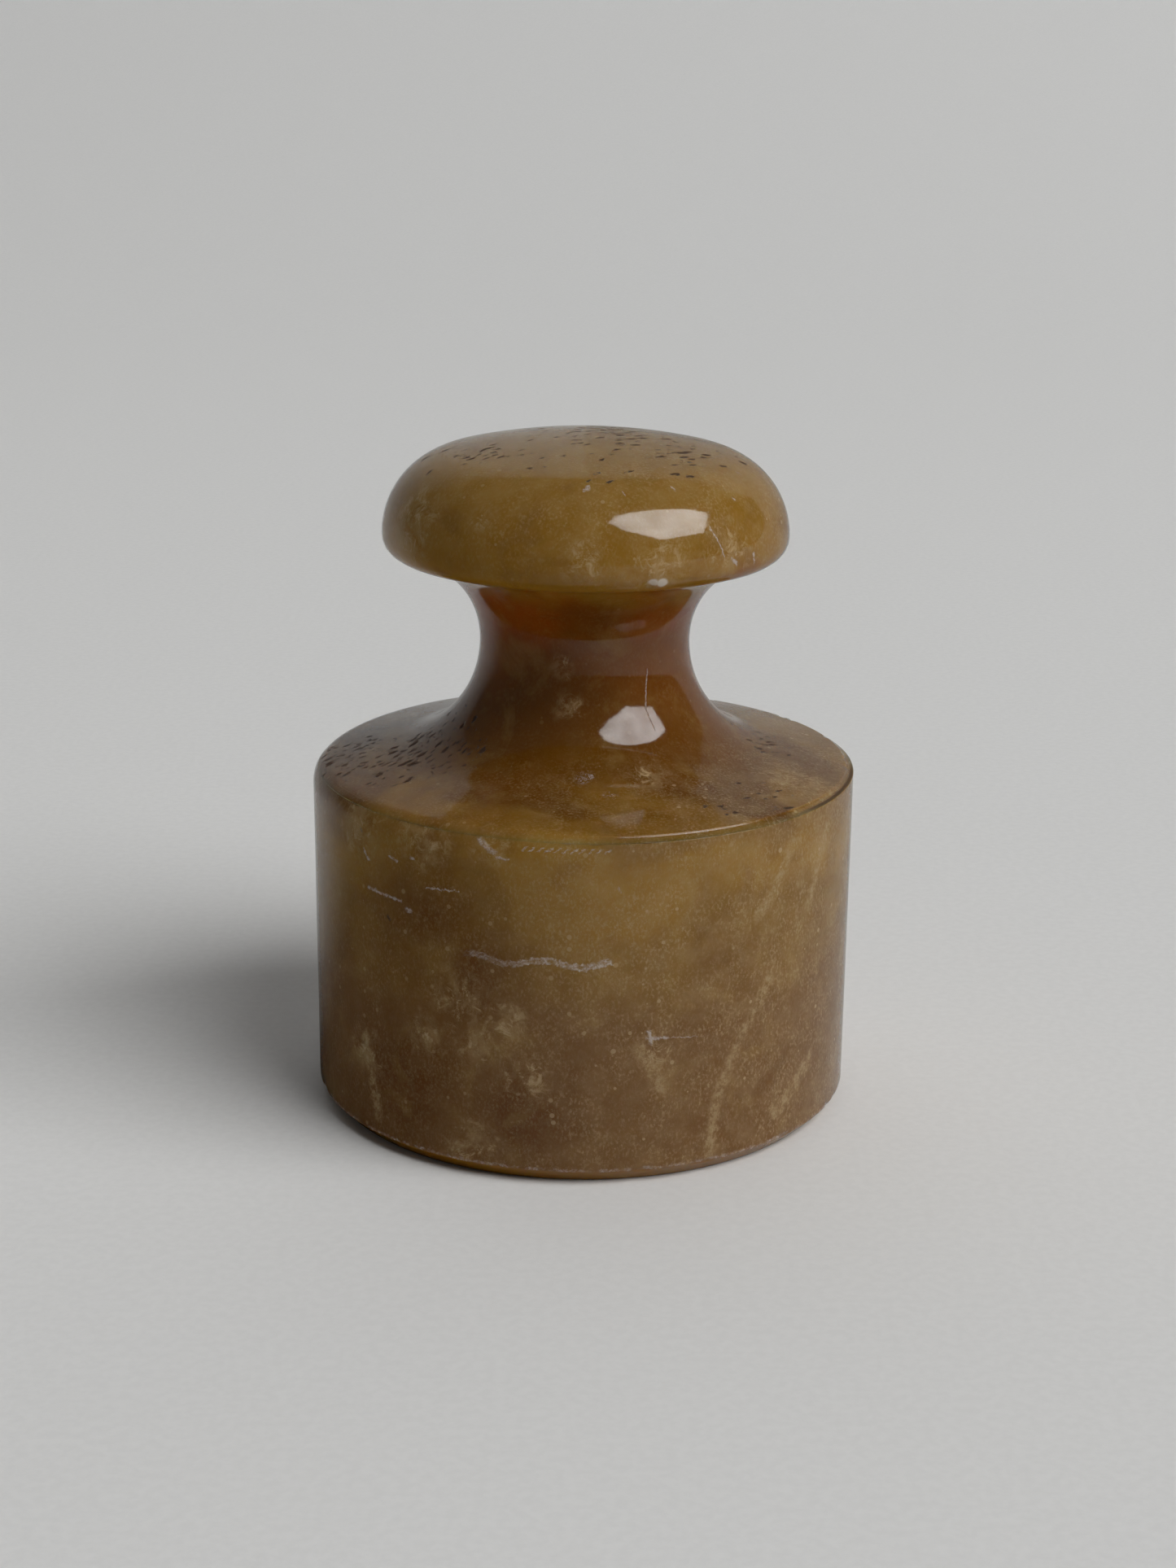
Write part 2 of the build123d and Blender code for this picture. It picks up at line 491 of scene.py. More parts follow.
def band(tree, value, centre, outer, inner):
    """1 where value is within inner of centre, easing to 0 at outer."""
    return soft_step(tree, maths(tree, "ABSOLUTE", maths(tree, "SUBTRACT", value, centre)), outer, inner)


def new_group(name, inputs, outputs):
    """An empty shader node group with named sockets. Returns the group, its input node and its output node."""
    group = bpy.data.node_groups.new(name, "ShaderNodeTree")
    kinds = {"value": "NodeSocketFloat", "vector": "NodeSocketVector", "colour": "NodeSocketColor"}
    for label, kind in inputs.items():
        group.interface.new_socket(label, in_out="INPUT", socket_type=kinds[kind])
    for label, kind in outputs.items():
        group.interface.new_socket(label, in_out="OUTPUT", socket_type=kinds[kind])
    return group, group.nodes.new("NodeGroupInput"), group.nodes.new("NodeGroupOutput")


def use(tree, group, sockets=None):
    """Places a node group in a tree."""
    return add(tree, "Group", {"node_tree": group}, sockets)


# %% [markdown]
# ## Where a point is, in a turner's terms
#
# On a turned stone it is natural to say "a third of the way round, 33 mm up". This group gives that: Wrap is the
# outside of the cup unrolled flat, with millimetres round and millimetres up, and zero at the front.

# %% Unroll the stone
WRAP_RADIUS = BODY_RADIUS / MM

tree, source, result = new_group(
    "round the stone",
    {"Position": "vector"},
    {"Place": "vector", "Wrap": "vector", "Around": "value", "Height": "value", "Radius": "value"},
)
place = vectors(tree, "SCALE", source.outputs["Position"], scale=1 / MM)
axes = add(tree, "SeparateXYZ", None, {0: place})
angle = maths(tree, "ARCTAN2", axes.outputs["X"], maths(tree, "MULTIPLY", axes.outputs["Y"], -1.0))
around = maths(tree, "MULTIPLY", angle, WRAP_RADIUS)
wrap = add(tree, "CombineXYZ", None, {0: around, 1: axes.outputs["Z"]})
level = add(tree, "CombineXYZ", None, {0: axes.outputs["X"], 1: axes.outputs["Y"]})
for label, socket in {
    "Place": place,
    "Wrap": wrap.outputs[0],
    "Around": around,
    "Height": axes.outputs["Z"],
    "Radius": vectors(tree, "LENGTH", level.outputs[0]),
}.items():
    tree.links.new(socket, result.inputs[label])
round_group = tree


def arc(degrees):
    """Millimetres round the cup for an angle in degrees from the front, positive to the right."""
    return radians(degrees) * WRAP_RADIUS


print("10 degrees round the cup is", round(arc(10), 2), "mm")

# %% [markdown]
# ## Two shapes for placing marks
#
# A scratch or a crack is a short line: a point's distance from it gives a mask. A cloud or a clear pocket in the
# stone is a soft ball: again a distance, but from a point, and in space, because clouds are inside the stone and
# show wherever the surface cuts them.

# %% Line mark and soft ball
inputs = {"Place": "vector", "From": "vector", "To": "vector", "Width": "value"}
tree, source, result = new_group("line mark", inputs, {"Mask": "value"})
offset = vectors(tree, "SUBTRACT", source.outputs["Place"], source.outputs["From"])
run = vectors(tree, "SUBTRACT", source.outputs["To"], source.outputs["From"])
along = maths(tree, "DIVIDE", vectors(tree, "DOT_PRODUCT", offset, run), vectors(tree, "DOT_PRODUCT", run, run))
along = add(tree, "Clamp", None, {"Value": along}).outputs[0]
nearest = vectors(tree, "SCALE", run, scale=along)
away = vectors(tree, "DISTANCE", offset, nearest)
mask = soft_step(tree, maths(tree, "DIVIDE", away, source.outputs["Width"]), 1.0, 0.15)
tree.links.new(mask, result.inputs["Mask"])
line_group = tree

inputs = {"Place": "vector", "Centre": "vector", "Size": "value"}
tree, source, result = new_group("soft ball", inputs, {"Mask": "value"})
away = vectors(tree, "DISTANCE", source.outputs["Place"], source.outputs["Centre"])
mask = soft_step(tree, maths(tree, "DIVIDE", away, source.outputs["Size"]), 1.0, 0.0)
tree.links.new(mask, result.inputs["Mask"])
ball_group = tree


def lines(tree, place, marks):
    """The brightest of several line marks.

    Each is (start, end, width), with both ends as (degrees round, height in mm) and the width in mm.
    """
    masks = []
    for (angle0, height0), (angle1, height1), width in marks:
        start, end = (arc(angle0), height0, 0), (arc(angle1), height1, 0)
        sockets = {"Place": place, "From": start, "To": end, "Width": width}
        masks.append(use(tree, line_group, sockets).outputs["Mask"])
    return brightest(tree, masks)


def balls(tree, place, marks):
    """The brightest of several soft balls, each given as (centre, size) in millimetres."""
    masks = []
    for centre, size in marks:
        masks.append(use(tree, ball_group, {"Place": place, "Centre": centre, "Size": size}).outputs["Mask"])
    return brightest(tree, masks)


def on_cup(degrees, height, radius=WRAP_RADIUS):
    """The point in space at an angle round the stone, a height and a radius, in millimetres."""
    return (radius * sin(radians(degrees)), -radius * cos(radians(degrees)), height)


def around_stone(marks):
    """Soft balls from rows of (degrees, height, size), or (degrees, height, size, radius) for one off the cup."""
    return [(on_cup(degrees, height, *radius), size) for degrees, height, size, *radius in marks]


# %% [markdown]
# ## The stone itself
#
# The bedding of this block lay level, so its colour changes mostly with height: grey brown at the foot, olive honey
# at the shoulder, deep red amber in the neck and yellow honey in the knob. Slow noise bends those beds. Faster noise
# gives the milky mottling, and two fine noises give flecks: tiny crystal faces, stretched upwards, that crowd
# together in places and leave clear stone in others. Flecks and haze are also painted denser towards the right, where
# the
# window lights the stone: painted light.

# %% Colours of the stone
HONEY = (0.270, 0.134, 0.0095, 1)
OLIVE = (0.292, 0.156, 0.0200, 1)
SHOULDER_TAN = (0.130, 0.051, 0.0030, 1)
RED_AMBER = (0.262, 0.0580, 0.0004, 1)
# Painted glow: the foot chamfer gets a brighter, redder amber than the stone above it, for light shining through the
# foot.
FOOT_GLOW_AMBER = (0.245, 0.1050, 0.0022, 1)
GREY_BROWN = (0.176, 0.0810, 0.0170, 1)
DEEP_AMBER = (0.120, 0.0420, 0.0010, 1)
PALE_FLECK = (0.50, 0.36, 0.185, 1)
BRUISE = (0.50, 0.42, 0.37, 1)
CLOUD = (0.42, 0.28, 0.09, 1)
FRESH_CHIP = (0.66, 0.60, 0.52, 1)
STONE_POWDER = (0.47, 0.36, 0.22, 1)
DIRT = (0.040, 0.0150, 0.0045, 1)
BEDS = (  # (height in decimetres, colour)
    (0.00, GREY_BROWN),
    (0.22, GREY_BROWN),
    (0.36, (0.225, 0.115, 0.0140, 1)),
    (0.44, OLIVE),
    (0.50, (0.215, 0.104, 0.0110, 1)),
    (0.54, SHOULDER_TAN),
    (0.60, (0.145, 0.051, 0.0020, 1)),
    (0.70, (0.195, 0.058, 0.0008, 1)),
    (0.775, RED_AMBER),
    (0.835, HONEY),
    (1.00, (0.258, 0.140, 0.0230, 1)),
)

# %% The honey stone group
inputs = {"Place": "vector", "Height": "value", "Deep": "value", "Frost": "value", "Fleck_and_painted_light": "value"}
tree, source, result = new_group("honey stone", inputs, {"Color": "colour", "Pale": "value", "Grain": "value"})
place = source.outputs["Place"]
slow = noise(tree, place, 0.045, 3, 0.5, 0.4)
bent = maths(tree, "MULTIPLY_ADD", maths(tree, "SUBTRACT", slow, 0.5), 26.0, source.outputs["Height"])
ramp = add(tree, "ValToRGB", None, {0: maths(tree, "DIVIDE", bent, 100.0)})
ramp.color_ramp.interpolation = "EASE"
while len(ramp.color_ramp.elements) < len(BEDS):
    ramp.color_ramp.elements.new(0.5)
for element, (position, colour) in zip(ramp.color_ramp.elements, BEDS):
    element.position = position
    element.color = colour
clouds = noise(tree, place, 0.13, 5, 0.6, 0.5)
cloudy = soft_step(tree, clouds, 0.50, 0.72, 0.0, 0.22)
clear = soft_step(tree, clouds, 0.50, 0.30, 0.0, 0.30)
stretched = add(tree, "Mapping", None, {"Vector": place, "Scale": (1, 1, 0.7)}).outputs[0]
crowd = soft_step(tree, noise(tree, place, 0.16, 5, 0.7), 0.36, 0.62, 0.20, 1.0)
fine = soft_step(tree, noise(tree, stretched, 2.6, 3, 0.7), 0.45, 0.70)
coarse = soft_step(tree, noise(tree, stretched, 1.3, 4, 0.8), 0.57, 0.70)
flecks = maths(tree, "MAXIMUM", product(tree, fine, 0.58), product(tree, coarse, 0.70))
# The fleck input is partly painted light: it is larger on the lit right of each stone, so flecks, specks and haze are
# painted paler there.
flecks = product(tree, flecks, crowd, source.outputs["Fleck_and_painted_light"])
wisps = soft_step(tree, noise(tree, place, 0.55, 8, 0.75, 0.6), 0.50, 0.66)
frost = product(tree, wisps, source.outputs["Frost"])
dots = add(tree, "TexVoronoi", None, {"Vector": place, "Scale": 0.48})
chosen = add(tree, "SeparateColor", None, {0: dots.outputs["Color"]})
few = maths(tree, "LESS_THAN", chosen.outputs[0], 0.34)
dot_size = maths(tree, "MULTIPLY_ADD", chosen.outputs[1], 0.11, 0.07)
specks = product(tree, maths(tree, "LESS_THAN", dots.outputs["Distance"], dot_size), few, 0.75)
pale = brightest(tree, [flecks, frost, product(tree, specks, source.outputs["Fleck_and_painted_light"])])
milk = soft_step(tree, noise(tree, place, 0.26, 5, 0.7, 0.5), 0.38, 0.64, 0.0, 0.40)
milk = product(tree, milk, source.outputs["Frost"])
haze = soft_step(tree, noise(tree, place, 0.30, 5, 0.7), 0.35, 0.70, 0.0, 0.20)
haze = maths(tree, "MAXIMUM", product(tree, haze, source.outputs["Fleck_and_painted_light"]), milk)
depths = ((source.outputs["Deep"], DEEP_AMBER), (cloudy, CLOUD), (clear, DEEP_AMBER))
colour = layered(tree, ramp.outputs["Color"], (*depths, (haze, PALE_FLECK), (pale, PALE_FLECK)))
tree.links.new(colour, result.inputs["Color"])
tree.links.new(pale, result.inputs["Pale"])
tree.links.new(maths(tree, "ADD", clouds, product(tree, fine, 0.05)), result.inputs["Grain"])
stone_group = tree
print("the stone is made of", len(tree.nodes), "nodes")

# %% [markdown]
# ## Pits that hold dirt
#
# Soft layers of the stone wear faster and leave short pits, all lying the way the layers run, and the pits fill with
# dark dirt. A Voronoi pattern stretched along that direction gives separate dashes. Each cell's random colour
# decides whether it has a pit at all.

# %% Dirt pits group
tree, source, result = new_group("dirt pits", {"Place": "vector", "Where": "value"}, {"Mask": "value"})
turned = add(
    tree,
    "Mapping",
    {"vector_type": "TEXTURE"},
    {"Vector": source.outputs["Place"], "Rotation": (0, 0, radians(38)), "Scale": (1.5, 0.62, 1.0)},
).outputs[0]
wander = vectors(tree, "SCALE", noise(tree, turned, 1.1, 4, 0.7, 0, "Color"), scale=1.5)
warped = vectors(tree, "ADD", turned, wander)
cells = add(tree, "TexVoronoi", None, {"Vector": warped, "Scale": 0.75})
chance = add(tree, "SeparateColor", None, {0: cells.outputs["Color"]})
gathered = soft_step(tree, noise(tree, source.outputs["Place"], 0.28, 4, 0.7), 0.38, 0.60, 0.15, 1.35)
here = maths(tree, "LESS_THAN", chance.outputs[0], product(tree, source.outputs["Where"], gathered))
pit_size = maths(tree, "MULTIPLY_ADD", chance.outputs[1], 0.62, 0.38)
dash = soft_step(tree, maths(tree, "DIVIDE", cells.outputs["Distance"], pit_size), 0.66, 0.42)
tree.links.new(product(tree, dash, here), result.inputs["Mask"])
pit_group = tree

# %% [markdown]
# ## One recipe for a stone's material
#
# Both stones share the same steps: find the point, let the stone group colour it, add this stone's own marks, and
# set the gloss. Polished calcite is glossy but not perfect, frosty marks and dirt are duller, and the surfaces that
# grind are left matt. Light that enters comes out again a few millimetres away, red furthest, which is what
# subsurface scattering does.

# %% The shared recipe
GLOSS_AND_GLOW = {
    "IOR": 1.54,
    "Specular IOR Level": 0.5,
    "Subsurface Weight": 0.85,
    "Subsurface Radius": (1.0, 0.6, 0.4),
    "Subsurface Scale": 0.0022,
}
NECK_MIDDLE = 70.0  # height of the waist in mm, where the stone has the fewest flecks
BUMP_STRENGTH, BUMP_DEPTH = 0.6, 0.00025


def stone_material(name, deep_balls, frost_balls, marks):
    """Builds one stone's material. marks(tree, where, warped) returns its masks by name.

    deep_balls are places where the stone is clear and dark, and frost_balls are places where it is milky.
    """
    material = bpy.data.materials.new(name)
    material.use_nodes = True
    tree = material.node_tree
    shader = tree.nodes["Principled BSDF"]
    position = add(tree, "TexCoord").outputs["Object"]
    where = use(tree, round_group, {"Position": position})
    place, height = where.outputs["Place"], where.outputs["Height"]
    jitter = vectors(tree, "SUBTRACT", noise(tree, place, 1.6, 3, 0.6, 0, "Color"), (0.5, 0.5, 0.5))
    warped = vectors(tree, "ADD", where.outputs["Wrap"], vectors(tree, "SCALE", jitter, scale=0.9))
    warped = vectors(tree, "MULTIPLY", warped, (1, 1, 0))
    # Painted light: this factor grows from 0.45 at the left to 1 at the right, where the window lights the stone. It
    # scales the flecks and the haze, so the right is painted paler. Near the waist it falls to 0.2.
    right = soft_step(tree, add(tree, "SeparateXYZ", None, {0: place}).outputs["X"], -22.0, 28.0, 0.45, 1.0)
    at_neck = maths(tree, "ABSOLUTE", maths(tree, "SUBTRACT", height, NECK_MIDDLE))
    right = product(tree, right, soft_step(tree, at_neck, 12.0, 18.5, 0.2, 0.92))
    sockets = {
        "Place": place,
        "Height": height,
        "Deep": balls(tree, place, around_stone(deep_balls)),
        "Frost": balls(tree, place, around_stone(frost_balls)),
        "Fleck_and_painted_light": right,
    }
    stone = use(tree, stone_group, sockets)
    masks = marks(tree, where, warped)
    broken = soft_step(tree, noise(tree, place, 1.9, 4, 0.7), 0.36, 0.58, 0.15, 1.0)
    scratches = product(tree, masks["scratch"], broken)
    crumbs = soft_step(tree, noise(tree, place, 0.9, 6, 0.8), 0.42, 0.62, 0.12, 1.0)
    # Painted glow on the foot chamfer: light that shines through the stone at its foot, painted as a brighter amber.
    painted_foot_glow = soft_step(tree, height, 2.4, 1.9)
    turning = add(tree, "CombineXYZ", None, {0: where.outputs["Radius"], 2: height}).outputs[0]
    rings = noise(tree, turning, 1.5, 4, 0.7)
    powder = soft_step(tree, noise(tree, place, 0.35, 6, 0.75), 0.36, 0.66, 0.16, 0.52)
    powder = maths(tree, "MULTIPLY_ADD", soft_step(tree, rings, 0.4, 0.65), 0.16, powder)
    layers = (
        (product(tree, masks["vein"], crumbs, 0.55), PALE_FLECK),
        (product(tree, scratches, 0.85), BRUISE),
        (painted_foot_glow, FOOT_GLOW_AMBER),
        (masks["chip"], FRESH_CHIP),
        (masks["dirt"], DIRT),
        (product(tree, masks["ground"], powder), STONE_POWDER),
    )
    tree.links.new(layered(tree, stone.outputs["Color"], layers), shader.inputs["Base Color"])
    smear = soft_step(tree, noise(tree, place, 0.22, 4, 0.6, 0.8), 0.35, 0.75, 0.035, 0.09)
    duller = ((stone.outputs["Pale"], 0.20), (scratches, 0.35), (masks["dirt"], 0.85), (masks["ground"], 0.50))
    tree.links.new(weighed_sum(tree, smear, duller), shader.inputs["Roughness"])
    grit = noise(tree, place, 3.5, 3, 0.6)
    grinding = product(tree, masks["ground"], maths(tree, "MULTIPLY_ADD", rings, 1.2, product(tree, grit, 0.8)))
    raised = ((scratches, 0.5), (masks["dirt"], -0.3), (grinding, 0.9), (grit, 0.01))
    relief = weighed_sum(tree, product(tree, stone.outputs["Grain"], 0.10), raised)
    bump = add(tree, "Bump", None, {"Strength": BUMP_STRENGTH, "Distance": BUMP_DEPTH, "Height": relief})
    tree.links.new(bump.outputs["Normal"], shader.inputs["Normal"])
    for label, value in GLOSS_AND_GLOW.items():
        shader.inputs[label].default_value = value
    print(name, "has", len(tree.nodes), "nodes")
    return material


# %% [markdown]
# ## Marks of the mortar
#
# The mortar's side carries a long braided bruise at two thirds of its height, a few short scratches, a row of small
# slanting nicks just under the rim, two pale veins at the right that climb away from the front, and frosty clouds in
# the lower half. The edge above the foot chamfer is chipped pale all the way round.

# %% Mortar marks
RIM = RIM_Z / MM
BRAID_HEIGHT, BRAID_FROM, BRAID_TO = 33.1, -17.2, 4.4
BRAID_STRAND, BRAID_WEAVE, BRAID_PITCH = 0.27, 0.36, 2.3
BRAID_FILL = 0.55
NICK_HEIGHT, NICK_FROM, NICK_TO, NICK_PITCH = 49.3, -8.5, 4.2, 1.15
FOOT_EDGE = 2.35
# (start, end, width), with each end as (degrees round, height)
SHORT_SCRATCHES = (  # front, then back
    ((-48.5, 39.3), (-39.0, 38.9), 0.38), ((-37.4, 37.9), (-36.6, 37.9), 0.55), ((-17.0, 47.7), (-14.4, 47.7), 0.24),
    ((-50.0, 44.6), (-48.2, 43.4), 0.30), ((-42.0, 45.0), (-39.8, 44.6), 0.32), ((-36.2, 45.6), (-35.4, 45.6), 0.26),
    ((-32.4, 41.8), (-25.0, 42.2), 0.22), ((-20.6, 49.8), (-17.4, 48.4), 0.55), ((13.0, 22.0), (17.2, 21.8), 0.36),
    ((13.6, 23.0), (14.0, 21.2), 0.40), ((17.0, 21.8), (24.0, 21.3), 0.09), ((7.0, 44.2), (7.6, 43.4), 0.22),
    ((94.0, 19.5), (99.0, 24.0), 0.28), ((149.0, 26.0), (158.0, 27.2), 0.36), ((168.0, 12.5), (175.0, 8.5), 0.30),
    ((-150.0, 40.5), (-139.0, 37.0), 0.40), ((-96.0, 44.5), (-88.0, 45.5), 0.28),
)
PALE_VEINS = (  # front, then back
    ((47.0, 46.5), (42.0, 40.4), 1.5), ((42.0, 40.4), (38.0, 37.6), 1.4), ((41.2, 27.5), (35.8, 21.6), 1.5),
    ((35.8, 21.6), (31.4, 16.4), 1.3), ((31.4, 16.4), (28.4, 10.2), 1.5), ((28.4, 10.2), (27.2, 3.0), 1.4),
    ((56.0, 12.6), (45.0, 6.6), 1.9), ((60.0, 47.0), (53.0, 36.0), 1.2), ((-50.5, 16.0), (-46.5, 5.0), 1.6),
    ((12.0, 20.4), (16.4, 14.4), 1.6), ((121.0, 47.0), (112.0, 29.0), 1.5), ((112.0, 29.0), (118.0, 9.0), 1.6),
    ((-122.0, 6.0), (-108.0, 35.0), 1.7), ((-165.0, 30.0), (-151.0, 16.0), 1.5),
)


def mortar_marks(tree, where, warped):
    """Masks for the mortar, by name."""
    place, radius = where.outputs["Place"], where.outputs["Radius"]
    axes = add(tree, "SeparateXYZ", None, {0: warped})
    u, v = axes.outputs["X"], axes.outputs["Y"]
    # The braided bruise: two strands that cross, v = centre + weave sin(ku) and v = centre - weave sin(ku)
    sway = product(tree, maths(tree, "SINE", maths(tree, "MULTIPLY_ADD", u, 0.62, 4.79)), 0.42)
    from_centre = maths(tree, "SUBTRACT", maths(tree, "SUBTRACT", v, BRAID_HEIGHT), sway)
    bent_u = maths(tree, "MULTIPLY_ADD", noise(tree, where.outputs["Wrap"], 0.22, 2), 9.0, u)
    weave = product(tree, maths(tree, "SINE", product(tree, bent_u, 2 * pi / BRAID_PITCH)), BRAID_WEAVE)
    strands = []
    for sign in (1.0, -1.0):
        away = maths(tree, "ABSOLUTE", maths(tree, "MULTIPLY_ADD", weave, sign, from_centre))
        strands.append(soft_step(tree, away, BRAID_STRAND, BRAID_STRAND * 0.4))
    ends = product(tree, soft_step(tree, u, BRAID_FROM, BRAID_FROM + 2.5), soft_step(tree, u, BRAID_TO, BRAID_TO - 0.6))
    between = soft_step(tree, maths(tree, "ABSOLUTE", from_centre), 0.62, 0.30)
    braid = product(tree, brightest(tree, [*strands, product(tree, between, BRAID_FILL)]), ends)
    heavy = soft_step(tree, u, BRAID_FROM + 6.0, BRAID_FROM + 11.0, 0.45, 1.0)
    patchy = soft_step(tree, noise(tree, place, 0.9, 4, 0.75), 0.32, 0.56, 0.25, 1.0)
    braid = product(tree, braid, heavy, patchy)
    nibbled = soft_step(tree, noise(tree, place, 2.2, 4, 0.8), 0.45, 0.60)
    # A row of slanting nicks: a saw-tooth that leans with height, kept to a narrow band
    slant = maths(tree, "MULTIPLY_ADD", v, -1.4, u)
    tooth = maths(tree, "PINGPONG", slant, NICK_PITCH / 2)
    nicks = product(
        tree,
        soft_step(tree, tooth, 0.26, 0.10),
        band(tree, v, NICK_HEIGHT, 0.42, 0.15),
        soft_step(tree, u, NICK_FROM, NICK_FROM + 0.5),
        soft_step(tree, u, NICK_TO, NICK_TO - 0.5),
        0.9,
    )
    short = lines(tree, warped, SHORT_SCRATCHES)
    veins = lines(tree, warped, PALE_VEINS)
    foot_side = soft_step(tree, radius, 38.9, 39.3)
    knocked = soft_step(tree, noise(tree, place, 0.35, 4, 0.7), 0.40, 0.62)
    foot_line = product(tree, band(tree, v, FOOT_EDGE, 0.38, 0.12), foot_side, knocked, 0.8)
    spot = lines(tree, warped, [((-42.8, 35.9), (-42.2, 35.7), 0.45), ((-51, 47.5), (-50.6, 47.2), 0.3)])
    in_bowl = soft_step(tree, radius, WRAP_RADIUS - 8.6, WRAP_RADIUS - 9.0)
    ground = product(tree, in_bowl, soft_step(tree, where.outputs["Height"], 9.0, 12.0))
    return {
        "vein": veins,
        "chip": product(tree, braid, nibbled, 0.40),
        "scratch": brightest(tree, [braid, nicks, short, foot_line]),
        "dirt": product(tree, spot, 0.6),
        "ground": ground,
    }


mortar_material = stone_material(
    "mortar_onyx",
    [(150, 38, 16, 36), (-33, 38, 15.5, 36), (-22, 31, 12, 38), (-40, 12, 16, 38), (-12, 10, 12, 40)],
    [
        (-25, 26, 7.5), (-21, 20, 5.0), (-15, 24, 5.0), (-11, 17, 6.5), (-33, 20, 5.5), (-22, 4, 7.0),
        (-18, 49, 4.5), (-33, 49, 7.0), (-52, 48, 8.0), (15, 20, 5.0), (-50, 14, 6.0), (108, 30, 8.0),
        (158, 14, 9.0), (-132, 26, 8.0), (-172, 42, 6.5),
    ],
    mortar_marks,
)
stones["mortar"].data.materials.append(mortar_material)

# %% [markdown]
# ## Marks of the pestle
#
# Dirt sits in pits on the left of the shoulder and on the crown, where hands rest. The neck has two frosty patches
# and a fine upright crack. The knob has a curved scratch at its right and a pale chip on its lower lip. Dirt has
# also gathered in the joint at the right.

# %% Pestle marks
CRACKS = (  # neck, knob, lip, then back
    ((35.4, 67.4), (31.5, 62.4), 0.34), ((31.5, 62.4), (33.0, 59.6), 0.22), ((36.6, 90.2), (38.8, 88.0), 0.24),
    ((38.8, 88.0), (40.2, 86.2), 0.24), ((-0.8, 95.4), (1.2, 95.6), 0.30), ((12, 95.0), (12.4, 94.8), 0.20),
    ((29.2, 95.2), (29.8, 95.0), 0.22), ((50.2, 93.2), (50.8, 93.0), 0.26), ((64.4, 95.6), (65.2, 95.4), 0.26),
    ((43, 85.6), (45, 84.8), 0.40), ((52, 85.6), (52.6, 84.6), 0.40), ((128, 88.0), (137, 90.0), 0.30),
    ((-141, 91.8), (-130, 90.4), 0.30), ((-101, 67.0), (-96, 62.0), 0.28),
)


def pestle_marks(tree, where, warped):
    """Masks for the pestle, by name. No long vein shows on it."""
    place, height, around = where.outputs["Place"], where.outputs["Height"], where.outputs["Around"]
    cracks = lines(tree, warped, CRACKS)
    chip = balls(tree, place, around_stone([(18.4, 83.2, 1.25, 29.2), (21.0, 83.3, 1.15, 29.2)]))
    bruised = around_stone([(-0.5, 54.7, 1.7, 24.0), (1.5, 54.9, 1.4, 23.6), (7.8, 53.2, 1.6, 27.9)])
    bruises = balls(tree, place, bruised)
    fray = soft_step(tree, noise(tree, place, 1.4, 5, 0.8, 1.5), 0.50, 0.60)
    bruises = product(tree, soft_step(tree, bruises, 0.0, 0.5), fray)
    on_top = soft_step(tree, height, 95.6, 97.4)
    shoulder_left = balls(tree, place, [((-27, -9, 53.5), 13.0), ((-20, -13, 55.5), 9.0), ((-33, -2, 52), 9.0)])
    shoulder_right = [((-8, 30, 53), 8.0), ((26, 0, 53.5), 8.0), ((25, -23, 52), 6.5), ((19, -29, 52), 4.0)]
    shoulder_right = balls(tree, place, shoulder_right)
    crown = balls(tree, place, [((3, 2, 99), 15.0), ((-14, -8, 97.5), 9.0), ((13, -9, 97.5), 9.0)])
    where_pits = [
        product(tree, shoulder_left, 1.7),
        product(tree, shoulder_right, 0.6),
        product(tree, crown, on_top, 0.95),
        soft_step(tree, height, 94.0, 97.0, 0.0, 0.10),
    ]
    pits = use(tree, pit_group, {"Place": place, "Where": brightest(tree, where_pits)}).outputs["Mask"]
    seam = product(
        tree,
        band(tree, height, RIM + 0.06, 0.30, 0.12),
        soft_step(tree, around, arc(44), arc(58)),
        soft_step(tree, around, arc(96), arc(82)),
        0.85,
    )
    ground = soft_step(tree, height, RIM - 0.6, RIM - 1.2)
    return {
        "vein": 0.0,
        "scratch": brightest(tree, [cracks, bruises]),
        "chip": product(tree, soft_step(tree, chip, 0.05, 0.45), 0.9),
        "dirt": brightest(tree, [product(tree, pits, 0.94), seam]),
        "ground": ground,
    }


pestle_material = stone_material(
    "pestle_onyx",
    [(-20, 62, 12, 15), (5, 78, 9, 15), (-24, 56, 6, 20), (80, 88, 11.5, 36)],
    [
        (-12, 68.4, 2.6, 15.5), (-8, 63, 3.4, 16.5), (22, 55, 5.5, 25), (42, 87, 7.0, 29), (20, 86, 7.0, 29),
        (0, 87, 5.0, 29), (-58, 89, 9.0, 28), (-30, 92, 3.5, 28), (62, 52, 11.0, 34), (142, 88, 8.0, 29),
        (-112, 87, 7.0, 29), (172, 66, 3.6, 16), (158, 53, 6.0, 30), (-120, 53, 6.0, 30),
    ],
    pestle_marks,
)
stones["pestle"].data.materials.append(pestle_material)

# %% [markdown]
# ## Floor, light and camera
#
# The stones stand on pale paper that sweeps up far behind them. One large window lights them from the front right.
# Polished stone shows the window as a clear shape, so its outline matters as much as its strength. Its corners are
# given one by one, because curtains cut them off, and a thin curtain makes its light uneven. The room in front is dim.
#
# The stones mirror the paper too, and a sheet without end would look too bright in them. Only as seen in the polish,
# the paper dims with its bearing and its distance from the stones.

# %% Floor and backdrop
FLOOR_FRONT, FLOOR_BACK, FLOOR_HALF_WIDTH = -2.4, 0.9, 5.0
SWEEP_RADIUS, WALL_HEIGHT = 3.4, 5.5
PAPER_DIM, PAPER_BRIGHT, PAPER_BEHIND, PAPER_FAR_RIGHT = 0.13, 0.72, 0.68, 0.50


